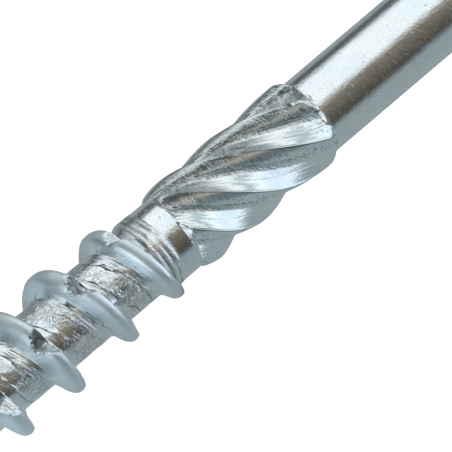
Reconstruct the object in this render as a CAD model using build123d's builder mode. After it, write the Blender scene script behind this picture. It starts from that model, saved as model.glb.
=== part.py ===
"""Timber screw with a countersunk head, a twisted shank reamer and a notched coarse thread.

The screw is headed and rolled from one steel blank, so it is a single solid. X is its axis:
x = 0 is the flat face of the head and x = length is the point. Z is up and the screw lies on
its side. Angles round the axis start at +Z and grow by the right-hand rule about +X. Lengths
are in millimetres.
"""

import os
from math import ceil, cos, radians, sin, tan

from build123d import *

# Overall length, and the stretch from the end of the neck to the point
length = 120.0
thread_length = 64.0

# Countersunk head
head_diameter = 18.5
head_rim = 0.9
head_angle = 90.0
head_neck_chamfer = 1.6

# Six-lobe drive socket
lobe_count = 6
socket_across_lobes = 8.95
socket_across_hollows = 6.45
socket_hollow_radius = 1.8
socket_depth = 4.4
socket_floor_depth = 0.8

# Smooth shank
shank_diameter = 7.0

# Reamer: twisted saw-tooth ribs pressed up between the shank and the neck
reamer_length = 15.7
reamer_diameter = 8.06
reamer_floor_diameter = 6.3
rib_count = 6
rib_lead = 37.0
rib_start_angle = -11.0
rib_steep_angle = 10.0
rib_floor_angle = 23.0
rib_crown = 0.1
reamer_collar_diameter = 7.3
reamer_collar_taper = 0.9
reamer_neck_taper = 1.2
waist_depth = 0.4

# Neck, and the rings that the edge of the rolling dies leaves where the thread starts
neck_length = 0.8
ring_gap = 0.8
ring_count = 3
ring_spacing = 0.6
ring_height = 0.18
ring_taper = 0.6

# Thread, a right-hand ridge whose steeper flank faces the head
thread_diameter = 10.0
core_diameter = 6.3
pitch = 5.8
crest_width = 0.8
head_side_flank = 12.0
tip_side_flank = 30.0
root_depth = 0.35
thread_start_angle = 140.0
run_in_turns = 2.2
run_in_power = 0.25
sections_per_turn = 8

# V notches pressed into the crest; their places are angles along the helix from its start
notch_angle = 95.0
notch_floor_height = 0.15
notch_first = 243.0
notch_spacing = 338.0

# Gimlet point
point_length = 11.0
point_diameter = 0.7
point_crest_length = 14.0
thread_end_gap = 1.5
thread_end_height = 0.35

# Radii, and stations along the axis
head_radius = head_diameter / 2
shank_radius = shank_diameter / 2
core_radius = core_diameter / 2
thread_radius = thread_diameter / 2
reamer_radius = reamer_diameter / 2
reamer_floor_radius = reamer_floor_diameter / 2
waist_radius = reamer_floor_radius - waist_depth
point_radius = point_diameter / 2
head_end = head_rim + (head_radius - shank_radius) / tan(radians(head_angle / 2))
head_neck_radius = shank_radius + head_neck_chamfer * tan(radians(head_angle / 2))
thread_start = length - thread_length
neck_start = thread_start - neck_length
reamer_start = neck_start - reamer_length
rings_end = thread_start + ring_gap + ring_count * ring_spacing
point_start = length - point_length
thread_end = length - thread_end_gap


def cross_plane(x):
    """A plane square to the axis, whose local angles are the angles round the screw."""
    return Plane(origin=(x, 0, 0), x_dir=(0, 0, 1), z_dir=(1, 0, 0))


def axial_plane(x, angle):
    """A plane through the axis: local x runs along the screw, local y out at the angle."""
    sideways = Vector(0, -cos(radians(angle)), -sin(radians(angle)))
    return Plane(origin=(x, 0, 0), x_dir=(1, 0, 0), z_dir=sideways)


def polar(radius, angle):
    """A sketch point at a radius and an angle round the axis."""
    return (radius * cos(radians(angle)), radius * sin(radians(angle)))


def core_at(x):
    """Radius of the thread's core, which tapers along the point."""
    along = max(0, x - point_start) / point_length
    return core_radius + (point_radius - core_radius) * along


def crest_at(x):
    """Radius of the thread's crest, which grows at the start and tapers to the point."""
    grown = min(1, (x - thread_start) / (run_in_turns * pitch)) ** run_in_power
    last = core_at(thread_end) + thread_end_height
    left = min(1, (thread_end - x) / (point_crest_length - thread_end_gap))
    full = last + (thread_radius - last) * left
    return core_at(x) + (full - core_at(x)) * grown


# Ribs: one saw-tooth section twisted along the reamer, then trimmed to the reamer's outline
with BuildPart() as ribs:
    rib_step = 360 / rib_count
    rise_radius = (reamer_radius + reamer_floor_radius) / 2 + rib_crown
    with BuildSketch(cross_plane(reamer_start)):
        with BuildLine():
            for rib in range(rib_count):
                crest_angle = -rib * rib_step
                drop = Polyline(
                    polar(reamer_radius, crest_angle),
                    polar(reamer_floor_radius, crest_angle - rib_steep_angle),
                    polar(reamer_floor_radius, crest_angle - rib_floor_angle),
                )
                Polyline(
                    drop @ 1,
                    polar(rise_radius, crest_angle - (rib_floor_angle + rib_step) / 2),
                    polar(reamer_radius, crest_angle - rib_step),
                )
        make_face()
    with BuildLine(mode=Mode.PRIVATE) as twist:
        Helix(rib_lead, reamer_length, reamer_radius, (reamer_start, 0, 0), (1, 0, 0))
    with BuildLine() as reamer_axis:
        Line((reamer_start, 0, 0), (neck_start, 0, 0))
    sweep(path=reamer_axis.wire(), binormal=twist.edge())
    with BuildSketch():
        with BuildLine():
            Polyline(
                (reamer_start, 0),
                (reamer_start, reamer_collar_diameter / 2),
                (reamer_start + reamer_collar_taper, reamer_radius),
                (neck_start - reamer_neck_taper, reamer_radius),
                (neck_start, shank_radius),
                (neck_start, 0),
                close=True,
            )
        make_face()
    revolve(axis=Axis.X, mode=Mode.INTERSECT)

# Thread: the ridge is swept along its helix, between a lofted run-in and a lofted taper
turn_count = int((thread_end - thread_start) / pitch * sections_per_turn) / sections_per_turn
taper_turn = int((length - point_crest_length - thread_start) / pitch)
run_in_turn = ceil(run_in_turns)


def ridge_section(turn):
    """The ridge's trapezium, drawn in the axial plane at a turn of the helix."""
    x = thread_start + turn * pitch
    foot = core_at(x) - root_depth
    height = crest_at(x) - foot
    with BuildSketch(axial_plane(x, 360 * turn)) as section:
        with BuildLine():
            Polyline(
                (-crest_width / 2 - height * tan(radians(head_side_flank)), foot),
                (-crest_width / 2, foot + height),
                (crest_width / 2, foot + height),
                (crest_width / 2 + height * tan(radians(tip_side_flank)), foot),
                close=True,
            )
        make_face()
    return section.sketch.face()


def ridge_sections(first_turn, last_turn):
    """Sections from one turn to another, evenly spaced round the helix."""
    steps = round((last_turn - first_turn) * sections_per_turn)
    return [ridge_section(first_turn + step / sections_per_turn) for step in range(steps + 1)]


run_in_sections = ridge_sections(1 / sections_per_turn, run_in_turn)
with BuildPart() as run_in:
    loft(run_in_sections)

full_section = ridge_section(run_in_turn)
with BuildPart() as full_thread:
    with BuildLine() as helix:
        Helix(
            pitch,
            (taper_turn - run_in_turn) * pitch,
            thread_radius,
            center=(thread_start + run_in_turn * pitch, 0, 0),
            direction=(1, 0, 0),
        )
    sweep(full_section, path=helix.wire(), is_frenet=True)

taper_sections = ridge_sections(taper_turn, turn_count)
with BuildPart() as taper:
    loft(taper_sections)

with BuildPart() as screw:
    # Blank: the turned outline of head, shank, waist under the ribs, neck, core and point
    with BuildSketch():
        with BuildLine():
            Polyline(
                (0, 0),
                (0, head_radius),
                (head_rim, head_radius),
                (head_end - head_neck_chamfer, head_neck_radius),
                (head_end + head_neck_chamfer, shank_radius),
                (reamer_start, shank_radius),
                (reamer_start, waist_radius),
                (neck_start, waist_radius),
                (neck_start, shank_radius),
                (rings_end, shank_radius),
                (rings_end + ring_taper, core_radius),
                (point_start, core_radius),
                (length, point_radius),
                (length, 0),
                close=True,
            )
        make_face()
        with Locations((rings_end - ring_count * ring_spacing / 2, shank_radius)):
            with GridLocations(ring_spacing, 0, ring_count, 1):
                RegularPolygon(ring_height, 4)
    revolve(axis=Axis.X)

    # Drive socket, with a shallow cone in its floor
    with BuildSketch(cross_plane(0)):
        Circle(socket_across_lobes / 2)
        with PolarLocations(socket_across_hollows / 2 + socket_hollow_radius, lobe_count):
            Circle(socket_hollow_radius, mode=Mode.SUBTRACT)
    extrude(amount=socket_depth, mode=Mode.SUBTRACT)
    with Locations(cross_plane(socket_depth)):
        Cone(
            socket_across_hollows / 2,
            0,
            socket_floor_depth,
            align=(Align.CENTER, Align.CENTER, Align.MIN),
            mode=Mode.SUBTRACT,
        )

    # Ribs and thread, each turned to its place round the blank
    add(ribs.part, rotation=(rib_start_angle, 0, 0))
    for stretch in (run_in, full_thread, taper):
        add(stretch.part, rotation=(thread_start_angle, 0, 0))

    # Notches, cut down to just above the core
    notch_half_width = thread_radius * tan(radians(notch_angle / 2))
    ridge_width = 2 * thread_radius * tan(radians(tip_side_flank))
    notch_count = int((360 * turn_count - notch_first) / notch_spacing) + 1
    for notch in range(notch_count):
        turn = (notch_first + notch * notch_spacing) / 360
        x = thread_start + turn * pitch
        floor = core_at(x) + notch_floor_height
        with BuildSketch(cross_plane(x - ridge_width / 2)):
            with Locations(Location((0, 0), thread_start_angle + 360 * turn)):
                with BuildLine():
                    Polyline(
                        (floor, 0),
                        (floor + thread_radius, notch_half_width),
                        (floor + thread_radius, -notch_half_width),
                        close=True,
                    )
                make_face()
        extrude(amount=ridge_width, mode=Mode.SUBTRACT)

screw.part.label = "timber_screw"
os.makedirs("parts", exist_ok=True)
export_step(screw.part, "parts/timber_screw.step")
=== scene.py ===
from math import atan2, cos, degrees, pi, radians, sin, sqrt

import bmesh
import bpy
from mathutils import Matrix, Vector


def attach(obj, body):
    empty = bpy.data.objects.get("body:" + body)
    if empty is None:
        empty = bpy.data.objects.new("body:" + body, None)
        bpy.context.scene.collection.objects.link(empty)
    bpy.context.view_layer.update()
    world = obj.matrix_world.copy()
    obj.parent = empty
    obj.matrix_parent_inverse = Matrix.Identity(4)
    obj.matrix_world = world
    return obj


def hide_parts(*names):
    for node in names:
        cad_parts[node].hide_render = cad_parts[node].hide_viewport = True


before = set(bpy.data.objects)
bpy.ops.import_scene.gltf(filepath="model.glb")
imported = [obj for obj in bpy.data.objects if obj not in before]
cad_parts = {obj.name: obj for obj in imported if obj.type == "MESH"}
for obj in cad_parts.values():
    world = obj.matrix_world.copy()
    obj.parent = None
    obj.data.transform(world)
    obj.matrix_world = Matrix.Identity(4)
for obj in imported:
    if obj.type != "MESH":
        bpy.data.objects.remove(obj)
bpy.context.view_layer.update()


# Head and shank
# The cold-headed end of the steel blank: a flat countersunk head with a six-lobe socket punched
# in it, and the smooth drawn shank below. It is lathed here as rings of points round the X axis,
# in millimetres, whose columns carry on through the reamer and the thread.

COLUMNS = 180
FIRST_COLUMN = -9.2
column_step = 360 / COLUMNS

socket_point = 5.2
socket_floor = 4.4
socket_lobe_radius = 4.475
socket_hollow_radius = 1.8
socket_hollow_centre = 5.025
face_radius = 9.0
head_radius = 9.235
shank_radius = 3.5
reamer_start = 39.5


def on_axis_ring(mesh, x, radius_at):
    """A ring of points at x; radius_at gives the radius at an angle in degrees."""
    ring = []
    for column in range(COLUMNS):
        angle = radians(FIRST_COLUMN - column * 360 / COLUMNS)
        radius = radius_at(degrees(angle))
        ring.append(mesh.verts.new((x, -radius * sin(angle), radius * cos(angle))))
    return ring


def socket_radius(angle):
    """Outline of the six-lobe socket: a circle cut back by six round hollows."""
    off = radians(abs((angle + 30) % 60 - 30))
    reach = socket_hollow_centre * sin(off)
    if reach >= socket_hollow_radius:
        return socket_lobe_radius
    hollow = socket_hollow_centre * cos(off) - sqrt(socket_hollow_radius**2 - reach**2)
    return min(socket_lobe_radius, hollow)


def flat(radius):
    """A plain round outline."""
    return lambda angle: radius


def mixed(inner, outer, share):
    """An outline part of the way from one to another."""
    return lambda angle: inner(angle) * (1 - share) + outer(angle) * share


# The socket's pointed floor, its walls, and the head's face from the socket's edge outwards
cone_depth = socket_point - socket_floor
face = flat(face_radius)
cone_shares, floor_shares = (0.08, 0.35, 0.7, 1.0), (0.0, 0.5, 0.97)
face_shares = (0.05, 0.25, 0.5, 0.75, 0.97)
head_rings = [(socket_point - cone_depth * share, flat(3.1 * share)) for share in cone_shares]
head_rings += [(socket_floor, mixed(flat(3.16), socket_radius, share)) for share in floor_shares]
head_rings += [(x, socket_radius) for x in (4.3, 3.2, 2.1, 1.0, 0.25)]
head_rings += [(0.06, mixed(socket_radius, face, 0.012))]
head_rings += [(0.0, mixed(socket_radius, face, share)) for share in face_shares]

# The rounded rim, the countersunk underside, the fillet below it and the shank
turned = [(0.0, 9.06), (0.05, 9.18), (0.18, head_radius), (0.75, head_radius), (0.93, 9.2)]
turned += [(1.05 + step * 0.45, 9.1 - step * 0.45) for step in range(9)]
turned += [(5.05, 5.1), (5.5, 4.68), (5.95, 4.33), (6.4, 4.05), (6.9, 3.82)]
turned += [(7.5, 3.64), (8.2, 3.53)]
turned += [(9.2 + step * 1.2, shank_radius) for step in range(25)]
turned += [(reamer_start - gap, shank_radius) for gap in (0.6, 0.2, 0.0)]
head_rings += [(x, flat(radius)) for x, radius in turned]

head_mesh = bmesh.new()
lay = head_mesh.loops.layers.uv.new("lay")
pole = head_mesh.verts.new((socket_point, 0, 0))
previous = None
for x, radius_at in head_rings:
    ring = on_axis_ring(head_mesh, x, radius_at)
    for column in range(COLUMNS):
        after = (column + 1) % COLUMNS
        if previous is None:
            corners = (pole, ring[column], ring[after])
            far_side = (ring[after],)
        else:
            corners = (previous[column], ring[column], ring[after], previous[after])
            far_side = (ring[after], previous[after])
        for loop in head_mesh.faces.new(corners).loops:
            place = column + (1 if loop.vert in far_side else 0)
            loop[lay].uv = (loop.vert.co.x, place * 2 * pi * shank_radius / COLUMNS)
    previous = ring
head_part = bpy.data.meshes.new("head_and_shank")
head_mesh.to_mesh(head_part)
head_mesh.free()


# Reamer
# Six twisted saw-tooth ribs pressed up out of the shank. Each has a steep shoulder, a narrow
# floor and a long rising flank. Geometry Nodes bends a grid round the axis, and its columns
# follow the ribs' twist, so that each rib's edge stays crisp.


class Field:
    """A socket of a node tree that can be written in sums; each sum adds a Math node."""

    def __init__(self, socket):
        self.socket = socket

    def __add__(self, other):
        return sum_of("ADD", self, other)

    def __radd__(self, other):
        return sum_of("ADD", other, self)

    def __sub__(self, other):
        return sum_of("SUBTRACT", self, other)

    def __rsub__(self, other):
        return sum_of("SUBTRACT", other, self)

    def __mul__(self, other):
        return sum_of("MULTIPLY", self, other)

    def __rmul__(self, other):
        return sum_of("MULTIPLY", other, self)

    def __truediv__(self, other):
        return sum_of("DIVIDE", self, other)

    def __pow__(self, other):
        return sum_of("POWER", self, other)

    def __neg__(self):
        return sum_of("MULTIPLY", self, -1.0)


def plug(tree, socket, value):
    """Link a field to a socket, or set the socket to a plain value."""
    if isinstance(value, Field):
        tree.links.new(value.socket, socket)
    else:
        socket.default_value = value


def sum_of(operation, *values):
    """A Math node; the tree is that of the first value that is a field."""
    tree = next(value.socket.id_data for value in values if isinstance(value, Field))
    node = tree.nodes.new("ShaderNodeMath")
    node.operation = operation
    for socket, value in zip(node.inputs, values):
        plug(tree, socket, value)
    return Field(node.outputs[0])


def ramp(value, low, high, first=0.0, last=1.0, kind="SMOOTHSTEP"):
    """first below low, last above high, with a smooth or straight change between."""
    tree = value.socket.id_data
    node = tree.nodes.new("ShaderNodeMapRange")
    node.interpolation_type = kind
    names = ("Value", "From Min", "From Max", "To Min", "To Max")
    for name, number in zip(names, (value, low, high, first, last)):
        plug(tree, node.inputs[name], number)
    return Field(node.outputs[0])


def split(vector):
    """The three parts of a vector."""
    tree = vector.socket.id_data
    node = tree.nodes.new("ShaderNodeSeparateXYZ")
    plug(tree, node.inputs[0], vector)
    return [Field(output) for output in node.outputs]


def joined(x, y, z):
    """A vector from three parts, of which at least one is a field."""
    tree = next(value.socket.id_data for value in (x, y, z) if isinstance(value, Field))
    node = tree.nodes.new("ShaderNodeCombineXYZ")
    for socket, value in zip(node.inputs, (x, y, z)):
        plug(tree, socket, value)
    return Field(node.outputs[0])


def grain(vector, scale, detail=2.0, roughness=0.5, distortion=0.0):
    """Noise from -1 to 1, at a scale of features per unit of the vector."""
    tree = vector.socket.id_data
    node = tree.nodes.new("ShaderNodeTexNoise")
    plug(tree, node.inputs["Vector"], vector)
    names = ("Scale", "Detail", "Roughness", "Distortion")
    for name, number in zip(names, (scale, detail, roughness, distortion)):
        plug(tree, node.inputs[name], number)
    return (Field(node.outputs[0]) - 0.5) * 2.0


def profile(value, points):
    """Straight stretches through points of position and height; both run from 0 to 1."""
    tree = value.socket.id_data
    node = tree.nodes.new("ShaderNodeFloatCurve")
    curve = node.mapping.curves[0]
    for position, height in points[1:-1]:
        curve.points.new(position, height)
    for point, (position, height) in zip(curve.points, points):
        point.location = (position, height)
        point.handle_type = "VECTOR"
    node.mapping.update()
    plug(tree, node.inputs["Value"], value)
    return Field(node.outputs[0])


def new_tree(name, sizes):
    """A Geometry Nodes tree whose sizes, in millimetres or degrees, are named inputs."""
    tree = bpy.data.node_groups.new(name, "GeometryNodeTree")
    tree.interface.new_socket("Geometry", in_out="OUTPUT", socket_type="NodeSocketGeometry")
    for size, number in sizes.items():
        kind = "NodeSocketInt" if isinstance(number, int) else "NodeSocketFloat"
        tree.interface.new_socket(size, in_out="INPUT", socket_type=kind).default_value = number
    entry = tree.nodes.new("NodeGroupInput")
    return tree, {output.name: Field(output) for output in entry.outputs if output.name}


def grid_fields(tree, rows, columns):
    """A grid's geometry, and each point's place on it along the rows and along the columns."""
    grid = tree.nodes.new("GeometryNodeMeshGrid")
    plug(tree, grid.inputs["Size X"], 1.0)
    plug(tree, grid.inputs["Size Y"], 1.0)
    plug(tree, grid.inputs["Vertices X"], rows)
    plug(tree, grid.inputs["Vertices Y"], columns)
    across, along, _ = split(Field(tree.nodes.new("GeometryNodeInputPosition").outputs[0]))
    return grid.outputs["Mesh"], across + 0.5, along + 0.5


def store(tree, geometry, name, data_type, domain, value):
    """Keep a value on the mesh, for the material to read."""
    node = tree.nodes.new("GeometryNodeStoreNamedAttribute")
    node.data_type = data_type
    node.domain = domain
    node.inputs["Name"].default_value = name
    tree.links.new(geometry, node.inputs["Geometry"])
    plug(tree, node.inputs["Value"], value)
    return node.outputs[0]


def moved(tree, geometry, position):
    """The geometry with each of its points at a new position."""
    node = tree.nodes.new("GeometryNodeSetPosition")
    tree.links.new(geometry, node.inputs["Geometry"])
    plug(tree, node.inputs["Position"], position)
    return node.outputs[0]


def round_axis(x, radius, angle):
    """The point at a radius and an angle in degrees round the X axis."""
    turned = angle * (pi / 180)
    return joined(x, -(radius * sum_of("SINE", turned)), radius * sum_of("COSINE", turned))


def finished(tree, geometry, sizes, material):
    """Close the tree, run it on an empty object and return the plain mesh that it makes."""
    merge = tree.nodes.new("GeometryNodeMergeByDistance")
    merge.inputs["Distance"].default_value = 0.0005
    realize = tree.nodes.new("GeometryNodeRealizeInstances")
    paint = tree.nodes.new("GeometryNodeSetMaterial")
    paint.inputs["Material"].default_value = material
    for node in (merge, realize, paint, tree.nodes.new("NodeGroupOutput")):
        tree.links.new(geometry, node.inputs[0])
        geometry = node.outputs[0] if node.outputs else None
    holder = bpy.data.objects.new(tree.name, bpy.data.meshes.new(tree.name))
    bpy.context.scene.collection.objects.link(holder)
    modifier = holder.modifiers.new(tree.name, "NODES")
    modifier.node_group = tree
    for item in tree.interface.items_tree:
        if item.in_out == "INPUT":
            modifier[item.identifier] = sizes[item.name]
    evaluated = holder.evaluated_get(bpy.context.evaluated_depsgraph_get())
    mesh = bpy.data.meshes.new_from_object(evaluated)
    bpy.data.objects.remove(holder)
    return mesh


zinc = bpy.data.materials.new("zinc_plate")

# The thread's strip starts a little before its ridge, and the reamer's columns turn to meet it
PITCH = 5.8
THREAD_START = 56.0
THREAD_START_ANGLE = 140.0
STRIP_LEAD = 0.14
STRIP_START = THREAD_START - STRIP_LEAD * PITCH
neck_start = 55.15

rib_twist = 6.47
rib_twist_growth = 0.239
rib_run = neck_start - reamer_start
rib_end_angle = FIRST_COLUMN + rib_twist * rib_run + rib_twist_growth * rib_run**2

rib_sizes = {
    "Rows": 126,
    "Columns": COLUMNS + 1,
    "Start": reamer_start,
    "Neck start": neck_start,
    "End": STRIP_START,
    "Rib count": 6,
    "Rib start angle": FIRST_COLUMN,
    "Twist per mm": rib_twist,
    "Twist growth": rib_twist_growth,
    "Neck turn": (THREAD_START_ANGLE - rib_end_angle) % column_step,
    "Rib height": 0.88,
    "Floor radius": 3.15,
    "Shank radius": shank_radius,
    "Surface wave": 0.03,
    "Crest wave": 0.05,
    "Collar radius": 3.66,
    "Crest radius": 4.12,
    "Waist radius": 2.9,
}
ribs, size = new_tree("reamer_ribs", rib_sizes)
mesh, row, column = grid_fields(ribs, size["Rows"], size["Columns"])

# Rows lie closer at both ends; the columns follow the twist, which grows along the reamer
length_share = profile(row, [(0, 0), (0.12, 0.06), (0.85, 0.88), (1, 1)])
x = size["Start"] + (size["End"] - size["Start"]) * length_share
into_neck = ramp(x, size["Neck start"], size["End"])
along_ribs = sum_of("MINIMUM", x, size["Neck start"]) - size["Start"]
twist = along_ribs * (size["Twist per mm"] + along_ribs * size["Twist growth"])
angle = size["Rib start angle"] + twist + size["Neck turn"] * into_neck - column * 360.0

# One tooth: degrees past the rib's edge, and share of the rib's height
phase = sum_of("FRACT", column * size["Rib count"])
shoulder = [(0, 0.84), (3, 0.75), (6, 0.65), (10, 0.48), (13, 0.3), (15, 0.1), (16.5, 0.04)]
rise = [(21, 0.03), (24, 0.07), (32, 0.24), (40, 0.46), (46, 0.7), (52, 1.0), (55, 0.96)]
rise += [(60, 0.84)]
tooth = profile(phase, [(degree / 60, share) for degree, share in shoulder + rise])
wave = grain(round_axis(x * 0.35, 3.5, column * 360.0), 1.0, 1.0) * size["Surface wave"]
rib = sum_of("MODULO", sum_of("ROUND", column * size["Rib count"]), size["Rib count"])
crest_wave = grain(joined(x * 0.5, rib * 7.3, 0.0), 1.0, 1.0) * size["Crest wave"]
rib_radius = size["Floor radius"] + tooth * (size["Rib height"] + crest_wave) + wave

# The ribs end in a collar at the shank, and slope down to the neck
start, neck, end = size["Start"], size["Neck start"], size["End"]
collar_x = x + crest_wave * 4.0
collar = ramp(collar_x, start + 0.1, start + 1.1, size["Collar radius"], size["Crest radius"])
neck_slope = ramp(x + crest_wave * 6.0, neck - 0.9, end + 0.4, 4.1, size["Shank radius"])
topped = sum_of("SMOOTH_MIN", sum_of("SMOOTH_MIN", rib_radius, collar, 0.12), neck_slope, 0.15)
rising = ramp(x, neck - 0.7, end - 0.05, size["Waist radius"], size["Shank radius"])
topped = sum_of("SMOOTH_MAX", topped, rising, 0.12)
topped = topped + (size["Shank radius"] - topped) * ramp(x, end - 0.25, end)
wall = ramp(x, start + 0.05, start + 0.35)
radius = size["Shank radius"] + (topped - size["Shank radius"]) * wall

body = store(ribs, mesh, "lay", "FLOAT2", "CORNER", joined(x, column * 360.0, 0.0))
body = store(ribs, body, "height", "FLOAT", "POINT", tooth * wall)
body = moved(ribs, body, round_axis(x, radius, angle))
reamer_part = finished(ribs, body, rib_sizes, zinc)


# Thread, neck and point
# A coarse right-hand ridge rolled round the core, steep towards the head, with a V notch pressed
# in its crest at nearly every turn. The grid here is one long strip, a pitch wide, wound round
# the axis edge to edge; its first and last turns narrow to nothing, so that it meets plain rings.

screw_length = 120.0
point_start = 109.0
point_radius = 0.35
core_radius = 3.15
thread_turns = int((screw_length - STRIP_START) / PITCH)
strip_end = STRIP_START + thread_turns * PITCH

thread_sizes = {
    "Rows": 25,
    "Columns": (thread_turns + 1) * COLUMNS + 1,
    "Strip start": STRIP_START,
    "Strip turns": float(thread_turns),
    "Pitch": PITCH,
    "Thread start": THREAD_START,
    "Thread start angle": THREAD_START_ANGLE,
    "Thread radius": 4.97,
    "Core radius": core_radius,
    "Neck radius": shank_radius,
    "Ring start": 57.0,
    "Ring end": 58.6,
    "Ring height": 0.06,
    "Crest rounding": 0.55,
    "Crest waver": 0.1,
    "Tip-side fall": 0.35,
    "Head-side edge": 0.38,
    "Head-side fall": 30.0,
    "Wobble": 0.27,
    "Wobble turns": 1.6,
    "Run-in turns": 2.2,
    "Root radius": 0.3,
    "Lump height": 0.08,
    "Notch floor": 3.4,
    "Notch rise": 0.55,
    "Notch slant": 1.5,
    "Notch long side": 57.0,
    "Notch short side": 44.0,
    "First notch": 243.0,
    "Notch spacing": 338.0,
    "Point start": point_start,
    "Length": screw_length,
    "Point radius": point_radius,
    "Thread end": 118.5,
    "Thread end height": 0.35,
    "Crest taper": 14.0,
}
thread, size = new_tree("rolled_thread", thread_sizes)
mesh, row, column = grid_fields(thread, size["Rows"], size["Columns"])

# Rows lie closest where the ridge's flanks are; each column is a place along the helix
turn = column * (size["Strip turns"] + 1.0) - 1.0
row_places = [(0, 0), (4, 0.075), (7, 0.125), (14, 0.4), (22, 0.93), (24, 1)]
across = profile(row, [(place / 24, share) for place, share in row_places])
low_edge = sum_of("MAXIMUM", turn, 0.0)
high_edge = sum_of("MINIMUM", turn + 1.0, size["Strip turns"])
x = size["Strip start"] + size["Pitch"] * (low_edge + (high_edge - low_edge) * across)
angle = size["Thread start angle"] + turn * 360.0


def core_radius_at(x):
    """The neck with its rolled rings, the step down to the core, and the cone of the point."""
    rings = ramp(x, size["Ring start"] - 0.4, size["Ring start"] + 0.2) * size["Ring height"]
    step = ramp(x, size["Ring end"] - 0.2, size["Ring end"] + 0.6)
    neck = size["Neck radius"] + rings
    narrowing = size["Point radius"] - size["Core radius"]
    point = ramp(x, size["Point start"], size["Length"], 0.0, narrowing, "LINEAR")
    return neck + (size["Core radius"] - neck) * step + point


def crest_radius_at(turn, ridge_x, left):
    """The crest, which grows over the run-in, wavers a little and tapers to the point."""
    begun = ramp(turn, 0.0, 0.12)
    share = sum_of("MINIMUM", (turn + 0.35) / (size["Run-in turns"] + 0.35), 1.0)
    share = sum_of("MAXIMUM", share, 0.0) ** 0.4
    foot = core_radius_at(ridge_x)
    last = core_radius_at(size["Thread end"] + turn * 0.0) + size["Thread end height"]
    crest = foot + (last + (size["Thread radius"] - last) * left - foot) * share * begun
    rough = grain(round_axis(ridge_x * 0.4, size["Core radius"], turn * 360.0), 0.55, 2.0)
    return crest + rough * size["Crest waver"] * left * begun


def notch_radius_at(turn, off):
    """The V notches' floor and sides, and the angle past the nearest notch."""
    half_spacing = size["Notch spacing"] / 2.0
    past = turn * 360.0 - size["First notch"] - size["Notch slant"] * off + half_spacing
    past = sum_of("WRAP", past, size["Notch spacing"], 0.0) - half_spacing
    past = past * (pi / 180)
    long_side = sum_of("TANGENT", size["Notch long side"] * (pi / 180))
    short_side = sum_of("TANGENT", size["Notch short side"] * (pi / 180))
    sine = sum_of("SINE", past)
    opening = sum_of("COSINE", past) - sum_of("MAXIMUM", sine / long_side, -sine / short_side)
    floor = size["Notch floor"] + size["Notch rise"] * sum_of("MAXIMUM", off + 0.5, 0.0)
    return floor / sum_of("MAXIMUM", opening, 0.2), past


def ridge_radius(turn):
    """The ridge's surface where it passes a point, how deep a notch cuts it there, the share of
    the crest's height that the taper leaves, and the angle past the nearest notch."""
    ridge_x = size["Thread start"] + turn * size["Pitch"]
    taper_start = size["Length"] - size["Crest taper"]
    left = ramp(ridge_x, taper_start, size["Thread end"], 1.0, 0.0, "LINEAR")
    wobble = size["Wobble"] * sum_of("COSINE", (turn - 0.5) / size["Wobble turns"] * (2 * pi))
    off = x - ridge_x - wobble * ramp(turn, 2.0, 6.0, 1.0, 0.2) + 0.1
    past_edge = sum_of("MAXIMUM", -off - size["Head-side edge"], 0.0)
    head_side = size["Head-side fall"] * past_edge**3.0
    tip_side = size["Tip-side fall"] * sum_of("MAXIMUM", off, 0.0) ** 3.0
    crest = crest_radius_at(turn, ridge_x, left)
    ridge = crest - size["Crest rounding"] * off * off - tip_side - head_side
    notch, past_notch = notch_radius_at(turn, off)
    return sum_of("SMOOTH_MIN", ridge, notch, 0.05), ridge - notch, left, past_notch


# A point of the strip lies between two turns of the ridge, and takes the higher of the two
near, pressed, left, past_notch = ridge_radius(turn)
following, next_pressed, _, past_next_notch = ridge_radius(turn + 1.0)
off_ridge = x - size["Thread start"] - turn * size["Pitch"]
from_seam = sum_of("MINIMUM", off_ridge + STRIP_LEAD * PITCH, (1 - STRIP_LEAD) * PITCH - off_ridge)
beginning = ramp(x, size["Strip start"], size["Strip start"] + 0.2)
ending = beginning * ramp(x, strip_end - 0.9, strip_end, 1.0, 0.0)
threaded = ramp(x, size["Ring end"], size["Ring end"] + 1.0)
lumps = grain(joined(turn * 6.0, off_ridge * 0.9, 0.0), 1.0, 2.0) * size["Lump height"]
lumps = lumps * ramp(from_seam, 0.0, 0.8) * threaded * left * ending
core = core_radius_at(x) + lumps
blend = size["Root radius"] * ramp(x, 100.0, 118.0, 1.0, 0.3)
radius = sum_of("SMOOTH_MAX", sum_of("MAXIMUM", near, following), core, blend)
radius = core + (radius - core) * ending

# What the material reads: height above the core, where a notch is, and which side of it
height = ramp(radius - core, 0.15, 0.6)
wall_side = ramp(past_notch, -0.02, 0.02) * ramp(pressed, -0.02, 0.02)
wall_side = wall_side + ramp(past_next_notch, -0.02, 0.02) * ramp(next_pressed, -0.02, 0.02)
notched = ramp(sum_of("MAXIMUM", pressed, next_pressed), -0.05, 0.1) * height
lay_along = turn * (2 * pi * core_radius)
body = store(thread, mesh, "lay", "FLOAT2", "CORNER", joined(lay_along, off_ridge, 0.0))
body = store(thread, body, "height", "FLOAT", "POINT", height)
body = store(thread, body, "notch", "FLOAT", "POINT", notched)
body = store(thread, body, "wall", "FLOAT", "POINT", wall_side)
body = moved(thread, body, round_axis(x, radius, angle))
thread_part = finished(thread, body, thread_sizes, zinc)

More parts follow.
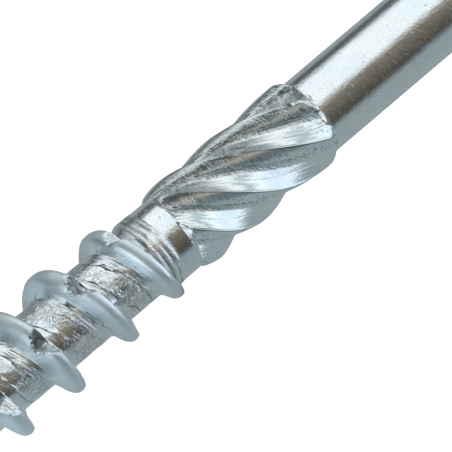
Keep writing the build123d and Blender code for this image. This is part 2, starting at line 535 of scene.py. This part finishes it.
# The point's end, from the last turn of the strip to a small blunt face
point_end = 119.99
tip_mesh = bmesh.new()
previous = None
for share in (0.0, 0.35, 0.7, 0.9, 1.0):
    x = strip_end + (point_end - strip_end) * share
    along_point = (x - point_start) / (screw_length - point_start)
    radius = core_radius + (point_radius - core_radius) * along_point
    radius *= 1 - 0.5 * max(0, share - 0.9) / 0.1
    ring = []
    for column in range(COLUMNS):
        angle = radians(THREAD_START_ANGLE + column * column_step)
        ring.append(tip_mesh.verts.new((x, -radius * sin(angle), radius * cos(angle))))
    for column in range(COLUMNS):
        after = (column + 1) % COLUMNS
        if previous is not None:
            tip_mesh.faces.new((previous[column], ring[column], ring[after], previous[after]))
    previous = ring
tip_mesh.faces.new(previous)
tip_part = bpy.data.meshes.new("point_end")
tip_mesh.to_mesh(tip_part)
tip_mesh.free()

# One piece of steel: the stretches share their rings' points, which are merged here
whole = bmesh.new()
for part in (head_part, reamer_part, thread_part, tip_part):
    whole.from_mesh(part)
bmesh.ops.remove_doubles(whole, verts=whole.verts, dist=0.002)
bmesh.ops.dissolve_degenerate(whole, edges=whole.edges, dist=0.0005)
bmesh.ops.recalc_face_normals(whole, faces=whole.faces)
bmesh.ops.scale(whole, vec=(0.001, 0.001, 0.001), verts=whole.verts)
for facet in whole.faces:
    facet.smooth = True
    facet.material_index = 0
screw_mesh = bpy.data.meshes.new("timber_screw_steel")
whole.to_mesh(screw_mesh)
whole.free()
screw_mesh.materials.clear()
screw_mesh.materials.append(zinc)
screw_mesh.set_sharp_from_angle(angle=radians(32))
screw = bpy.data.objects.new("timber_screw_steel", screw_mesh)
bpy.context.scene.collection.objects.link(screw)
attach(screw, "root")
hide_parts("timber_screw")

# Bright blue-white zinc plate over the marks of drawing, pressing and rolling. Positions and
# depths are in millimetres; "lay" runs along and across the ribs and the thread.
zinc.use_nodes = True
nodes, links = zinc.node_tree.nodes, zinc.node_tree.links
plate = nodes["Principled BSDF"]


def stretched(vector, factors):
    """A vector with each of its parts scaled."""
    tree = vector.socket.id_data
    node = tree.nodes.new("ShaderNodeVectorMath")
    node.operation = "MULTIPLY"
    plug(tree, node.inputs[0], vector)
    plug(tree, node.inputs[1], factors)
    return Field(node.outputs[0])


def attribute(name):
    """A value that was stored on the mesh."""
    node = nodes.new("ShaderNodeAttribute")
    node.attribute_name = name
    return Field(node.outputs["Fac"])


def tinted(share, first, second):
    """One colour turning into another as the share goes from 0 to 1."""
    tree = share.socket.id_data
    node = tree.nodes.new("ShaderNodeMix")
    node.data_type = "RGBA"
    plug(tree, node.inputs[0], share)
    for socket, colour in ((node.inputs[6], first), (node.inputs[7], second)):
        plug(tree, socket, colour if isinstance(colour, Field) else (*colour, 1))
    return Field(node.outputs[2])


def within(value, low, high, edge):
    """1 between low and high, falling to 0 over the edge."""
    return ramp(value, low - edge, low) * ramp(value, high + edge, high)


place = stretched(Field(nodes.new("ShaderNodeTexCoord").outputs["Object"]), (1000, 1000, 1000))
x, y, _ = split(place)
sheet = nodes.new("ShaderNodeUVMap")
sheet.uv_map = "lay"
along, across, _ = split(Field(sheet.outputs[0]))
height = attribute("height")
notched = attribute("notch")
far_wall = notched * attribute("wall")

reamer = within(x, 39.6, 55.0, 0.3)
thread_zone = ramp(x, 58.5, 59.2)
core = thread_zone * (1.0 - height)
flank = thread_zone * height * (1.0 - notched)

# Drawn and plated surface: fine grain, soft waves along the screw, and pits with painted shade in
# them
fine = grain(place, 5.5, 3.0, 0.7)
waves = grain(stretched(place, (0.3, 1.0, 1.0)), 0.9, 2.0)
speckle = grain(place, 2.6, 1.0)
pits = ramp(speckle, 0.42, 0.62) * ramp(grain(place, 0.4, 1.0), -0.1, 0.3)
depth = fine * 0.006 + grain(place, 3.4, 1.0) * 0.006 + waves * 0.012 - pits * 0.025

# Reamer: crosswise chatter on each rib's shoulder and floor, a folded crease, soft streaks along
# the flank, and a fine burr on the edge; the phase is the angle past that edge, in degrees
phase = sum_of("MODULO", across + 8.0, 60.0)
rib = sum_of("FLOOR", (across + 8.0) / 60.0)
chatter = grain(joined(x * 4.5 + phase * 0.08, phase * 0.12, rib * 7.0), 1.0, 3.0, 0.65)
patchy = ramp(grain(joined(x * 0.45, rib * 3.0, 0.0), 1.0, 1.0), -0.5, 0.0)
shoulder_marks = reamer * within(phase, 8.0, 19.0, 3.0) * patchy
floor_marks = reamer * within(phase, 23.0, 29.0, 2.0)
off_crease = phase - 20.0 - grain(joined(x * 0.5, rib * 5.0, 1.0), 1.0, 1.0) * 2.0
# The crease also gets painted shade, mixed into the colour further on
crease = reamer * ramp(sum_of("ABSOLUTE", off_crease), 1.2, 0.2)
crease = crease * ramp(grain(joined(x * 0.9, rib * 11.0, 2.0), 1.0, 2.0), -0.15, 0.15)
off_flank_fold = phase - 43.0 - waves * 3.0
flank_fold = reamer * ramp(sum_of("ABSOLUTE", off_flank_fold), 1.2, 0.1) * patchy
streaks = grain(joined(x * 0.3, phase * 0.13, rib * 9.0), 1.0, 2.0, 0.5)
streaks = streaks * reamer * ramp(phase, 30.0, 38.0)
burr = reamer * ramp(phase, 57.5, 59.5)
# Painted shade just past each rib's edge, mixed into the colour further on
under_edge = reamer * ramp(sum_of("ABSOLUTE", phase - 1.1), 1.0, 0.4)
depth = depth + chatter * (shoulder_marks * 0.03 + floor_marks * 0.04)
depth = depth - crease * 0.05 - flank_fold * 0.012 + streaks * 0.022 + burr * 0.035
collar_edge = within(x, 39.7, 41.0, 0.5)
depth = depth + grain(place, 1.2, 1.0) * collar_edge * 0.08

# Neck: rings left by the edge of the rolling dies, with painted shade in the grooves between them
ring_place = x + y * 0.03 + grain(stretched(place, (0.0, 0.5, 0.5)), 1.0, 1.0) * 0.15
rings = sum_of("COSINE", (ring_place - 57.1) * (2 * pi / 0.6)) * 0.5 + 0.5
worn = ramp(grain(stretched(place, (0.9, 0.7, 0.7)), 0.8, 1.0), -0.3, 0.3, 0.15, 1.0)
ring_zone = within(ring_place, 57.0, 58.4, 0.2) * worn
depth = depth + ring_zone * rings * 0.07 + ring_zone * fine * 0.03

# Core of the thread: laps and crinkles where the rolled metal folded, with painted shade in their
# folds
wander = grain(joined(along * 0.3, across * 0.35, 3.0), 1.0, 3.0, 0.55)
lap = sum_of("FRACT", across * 0.62 - along * 0.05 + wander * 0.8)
lapped = core * ramp(grain(joined(along * 0.35, across * 0.5, 8.0), 1.0, 2.0), -0.2, 0.15)
laps = lapped * within(lap, 0.92, 0.97, 0.03)
crinkled = ramp(grain(joined(along * 0.25, across * 0.3, 21.0), 1.0, 1.0), -0.4, 0.1)
crinkled = core * within(across, 2.0, 4.3, 0.5) * crinkled
crinkle = sum_of("ABSOLUTE", grain(stretched(place, (0.8, 1.2, 1.2)), 1.1, 3.0, 0.6, 1.2))
folded = crinkled * ramp(crinkle, 0.12, 0.0)
striae = grain(joined(along * 0.35, across * 3.5, 5.0), 1.0, 2.0)
by_root = core * within(across, 0.8, 2.0, 0.5)
depth = depth + (lap - ramp(lap, 0.88, 1.0)) * lapped * 0.08 + crinkle * crinkled * 0.09
depth = depth + striae * (core * 0.012 + by_root * 0.04)

# Ridge of the thread: satin flanks, and notches with a torn floor, painted shade on far walls past
# the first
satin = grain(joined(along * 0.9, across * 0.9, 31.0), 1.0, 2.0)
torn = grain(stretched(place, (2.5, 1.0, 1.0)), 1.6, 2.0)
depth = depth + satin * flank * 0.02 + torn * notched * 0.035
notch_wall_shade = far_wall * ramp(x, 61.0, 64.0) * ramp(torn, -0.4, 0.3, 0.7, 0.95)

bump = nodes.new("ShaderNodeBump")
bump.inputs["Distance"].default_value = 0.001
plug(zinc.node_tree, bump.inputs["Height"], depth)
links.new(bump.outputs["Normal"], plate.inputs["Normal"])

# Tints of the plating, and painted shade in pits, dents, creases, folds, notches and under edges
zinc_blue, zinc_grey, zinc_warm = (0.78, 0.84, 0.87), (0.85, 0.88, 0.88), (0.82, 0.76, 0.66)
speck, satin_blue, shade_colour = (0.5, 0.49, 0.46), (0.84, 0.93, 0.98), (0.1, 0.09, 0.08)
# Painted shade in the chatter's dents
pocks = ramp(chatter, 0.0, -0.35) * (shoulder_marks + floor_marks)
painted_shade = pits * (0.7 - flank * 0.5) + pocks * 0.6 + notch_wall_shade + crease * 0.55
painted_shade = painted_shade + laps * 0.55 + folded * 0.35 + under_edge * 0.55
painted_shade = sum_of("MINIMUM", painted_shade + ring_zone * (1.0 - rings) ** 3.0 * 0.8, 1.0)
colour = tinted(ramp(grain(place, 0.35, 2.0), -0.5, 0.5), zinc_blue, zinc_grey)
colour = tinted(ramp(grain(place, 0.9, 2.0), 0.15, 0.6) * 0.35, colour, zinc_warm)
colour = tinted(ramp(fine, 0.05, 0.5) * 0.4, colour, speck)
colour = tinted(flank * 0.7, colour, satin_blue)
# The painted shade is mixed into the colour here
colour = tinted(painted_shade, colour, shade_colour)
links.new(colour.socket, plate.inputs["Base Color"])
crest_band = flank * within(across, -0.4, 0.4, 0.3)
rough = 0.17 + fine * 0.05 + flank * 0.14 + pits * 0.2 + crinkled * 0.05 + crest_band * 0.2
links.new(rough.socket, plate.inputs["Roughness"])
plate.inputs["Metallic"].default_value = 1.0


# Floor, light and camera
# The screw lies on its head's rim and its thread, a little off level, on a plain white floor
# in a light tent that is open on one side.

rest_radius, crest_rest, crest_rest_x = 9.25, 5.0, 105.0
floor = bpy.data.meshes.new("floor")
tilt = atan2(rest_radius - crest_rest, crest_rest_x)
floor.from_pydata([(-1, -1, 0), (1, -1, 0), (1, 1, 0), (-1, 1, 0)], [], [(0, 1, 2, 3)])
below = Matrix.Translation((0, 0, -rest_radius / 1000))
floor.transform(below @ Matrix.Rotation(-tilt, 4, "Y"))
floor_object = bpy.data.objects.new("floor", floor)
bpy.context.scene.collection.objects.link(floor_object)


def banded(value, bands):
    """A colour ramp through bands of position and colour; positions run from 0 to 1."""
    tree = value.socket.id_data
    node = tree.nodes.new("ShaderNodeValToRGB")
    plug(tree, node.inputs["Fac"], value)
    elements = node.color_ramp.elements
    for position, _ in bands[1:-1]:
        elements.new(position)
    for element, (position, colour) in zip(elements, bands):
        element.position = position
        element.color = (*colour, 1)
    return Field(node.outputs[0])


# White paper with the screw's shadow; in the steel it shows painted shade, brighter past the tip
paper = bpy.data.materials.new("white_paper")
paper.use_nodes = True
floor.materials.append(paper)
nodes, links = paper.node_tree.nodes, paper.node_tree.links
nodes.clear()
spot_x, spot_y, _ = split(Field(nodes.new("ShaderNodeTexCoord").outputs["Object"]))
nearness = ramp(spot_y, -0.06, 0.03, kind="LINEAR")
shade = banded(nearness, [(0.1, (0.09, 0.095, 0.1)), (0.42, (0.325, 0.38, 0.395))])
painted_past_tip = ramp(spot_x, 0.065, 0.085) * ramp(spot_y, -0.035, -0.015) * ramp(spot_y, 0.016, 0.004)
# The painted reflection: the paper glows with this colour only in the steel's reflections
painted_reflection = nodes.new("ShaderNodeEmission")
links.new(tinted(painted_past_tip, shade, (0.46, 0.57, 0.62)).socket, painted_reflection.inputs["Color"])
path = nodes.new("ShaderNodeLightPath")
matt = nodes.new("ShaderNodeBsdfDiffuse")
matt.inputs["Color"].default_value = (0.9, 0.9, 0.9, 1)
lift = nodes.new("ShaderNodeEmission")
links.new(path.outputs["Is Camera Ray"], lift.inputs["Strength"])
lift.inputs["Color"].default_value = (0.74, 0.74, 0.74, 1)
both = nodes.new("ShaderNodeAddShader")
links.new(matt.outputs[0], both.inputs[0])
links.new(lift.outputs[0], both.inputs[1])
choose = nodes.new("ShaderNodeMixShader")
links.new(path.outputs["Is Glossy Ray"], choose.inputs[0])
links.new(both.outputs[0], choose.inputs[1])
links.new(painted_reflection.outputs[0], choose.inputs[2])
out = nodes.new("ShaderNodeOutputMaterial")
links.new(choose.outputs[0], out.inputs["Surface"])

# The tent. Its bands lie round the screw's axis, at angles from the camera's side (0) towards
# the right-hand side, and differ between its middle, its head end and its tip end.
world = bpy.data.worlds.new("light_tent")
bpy.context.scene.world = world
world.use_nodes = True
nodes, links = world.node_tree.nodes, world.node_tree.links
nodes.clear()
endwise, side, up = split(Field(nodes.new("ShaderNodeTexCoord").outputs["Generated"]))
camera_side, camera_up = 0.3253, 0.9456
rightward = side * camera_up - up * camera_side
cameraward = side * camera_side + up * camera_up
around = sum_of("ARCTAN2", rightward, cameraward) * (180 / pi)


def round_screw(bands):
    """Bands of colour at angles in degrees round the screw."""
    return banded(around / 360.0 + 0.5, [(angle / 360 + 0.5, colour) for angle, colour in bands])


middle = round_screw([
    (-180, (0.14, 0.15, 0.16)),
    (-103, (0.13, 0.14, 0.15)),
    (-87, (1.03, 1.1, 1.13)),
    (-17, (1.1, 1.16, 1.18)),
    (-1, (0.2, 0.16, 0.105)),
    (54, (0.045, 0.033, 0.02)),
    (69, (0.32, 0.38, 0.4)),
    (160, (0.36, 0.42, 0.44)),
    (180, (0.2, 0.22, 0.24)),
])
towards_tip = round_screw([
    (-180, (0.12, 0.13, 0.14)),
    (-92, (0.4, 0.43, 0.43)),
    (-76, (0.78, 0.82, 0.82)),
    (-62, (0.6, 0.64, 0.63)),
    (-52, (0.1, 0.115, 0.125)),
    (-28, (0.07, 0.077, 0.082)),
    (-14, (0.15, 0.14, 0.12)),
    (2, (0.44, 0.42, 0.37)),
    (13, (0.4, 0.39, 0.36)),
    (26, (0.13, 0.16, 0.165)),
    (60, (0.16, 0.225, 0.245)),
    (180, (0.2, 0.25, 0.27)),
])
head_end = round_screw([
    (-180, (0.2, 0.22, 0.24)),
    (-94, (0.28, 0.32, 0.34)),
    (-78, (0.95, 1.0, 1.02)),
    (-56, (1.15, 1.18, 1.15)),
    (-43, (0.42, 0.52, 0.56)),
    (-27, (0.5, 0.63, 0.7)),
    (-11, (1.18, 1.26, 1.28)),
    (22, (0.8, 0.98, 1.22)),
    (52, (1.05, 1.18, 1.26)),
    (76, (0.3, 0.36, 0.38)),
    (180, (0.2, 0.22, 0.24)),
])
tip_end = banded(up, [
    (0.0, (0.75, 0.87, 0.95)),
    (0.35, (1.1, 1.24, 1.34)),
    (0.6, (0.95, 1.04, 1.1)),
    (0.74, (0.14, 0.13, 0.115)),
])
tip_end = tinted(ramp(side, -0.36, -0.12), (0.15, 0.19, 0.19), tip_end)
tent = tinted(ramp(endwise, -0.21, -0.08), middle, towards_tip)
tent = tinted(ramp(endwise, -0.43, -0.54), tent, head_end)
tent = tinted(ramp(endwise, 0.6, 0.74), tent, tip_end)
light = nodes.new("ShaderNodeBackground")
links.new(tent.socket, light.inputs["Color"])
plain = nodes.new("ShaderNodeBackground")
plain.inputs["Color"].default_value = (1, 1, 1, 1)
path = nodes.new("ShaderNodeLightPath")
choose = nodes.new("ShaderNodeMixShader")
links.new(path.outputs["Is Camera Ray"], choose.inputs[0])
links.new(light.outputs[0], choose.inputs[1])
links.new(plain.outputs[0], choose.inputs[2])
out = nodes.new("ShaderNodeOutputWorld")
links.new(choose.outputs[0], out.inputs["Surface"])

# Camera, as far off as the photograph's flat perspective asks; sizes in metres
camera_distance = 0.8
view_width = 0.03705
towards = Vector((0.2925, 0.311, 0.904)).normalized()
target = Vector((0.0510, 0.00222, -0.00076))
right = Vector((-0.729, 0.685, 0.0)).normalized()
above = towards.cross(right).normalized()
lens = bpy.data.cameras.new("camera")
lens.sensor_width = 36.0
lens.lens = lens.sensor_width * camera_distance / view_width
lens.clip_start = 0.01
camera = bpy.data.objects.new("camera", lens)
bpy.context.scene.collection.objects.link(camera)
turned = Matrix((right, above, towards)).transposed().to_4x4()
camera.matrix_world = Matrix.Translation(target + towards * camera_distance) @ turned
bpy.context.scene.camera = camera

bpy.context.scene.view_settings.view_transform = "Standard"
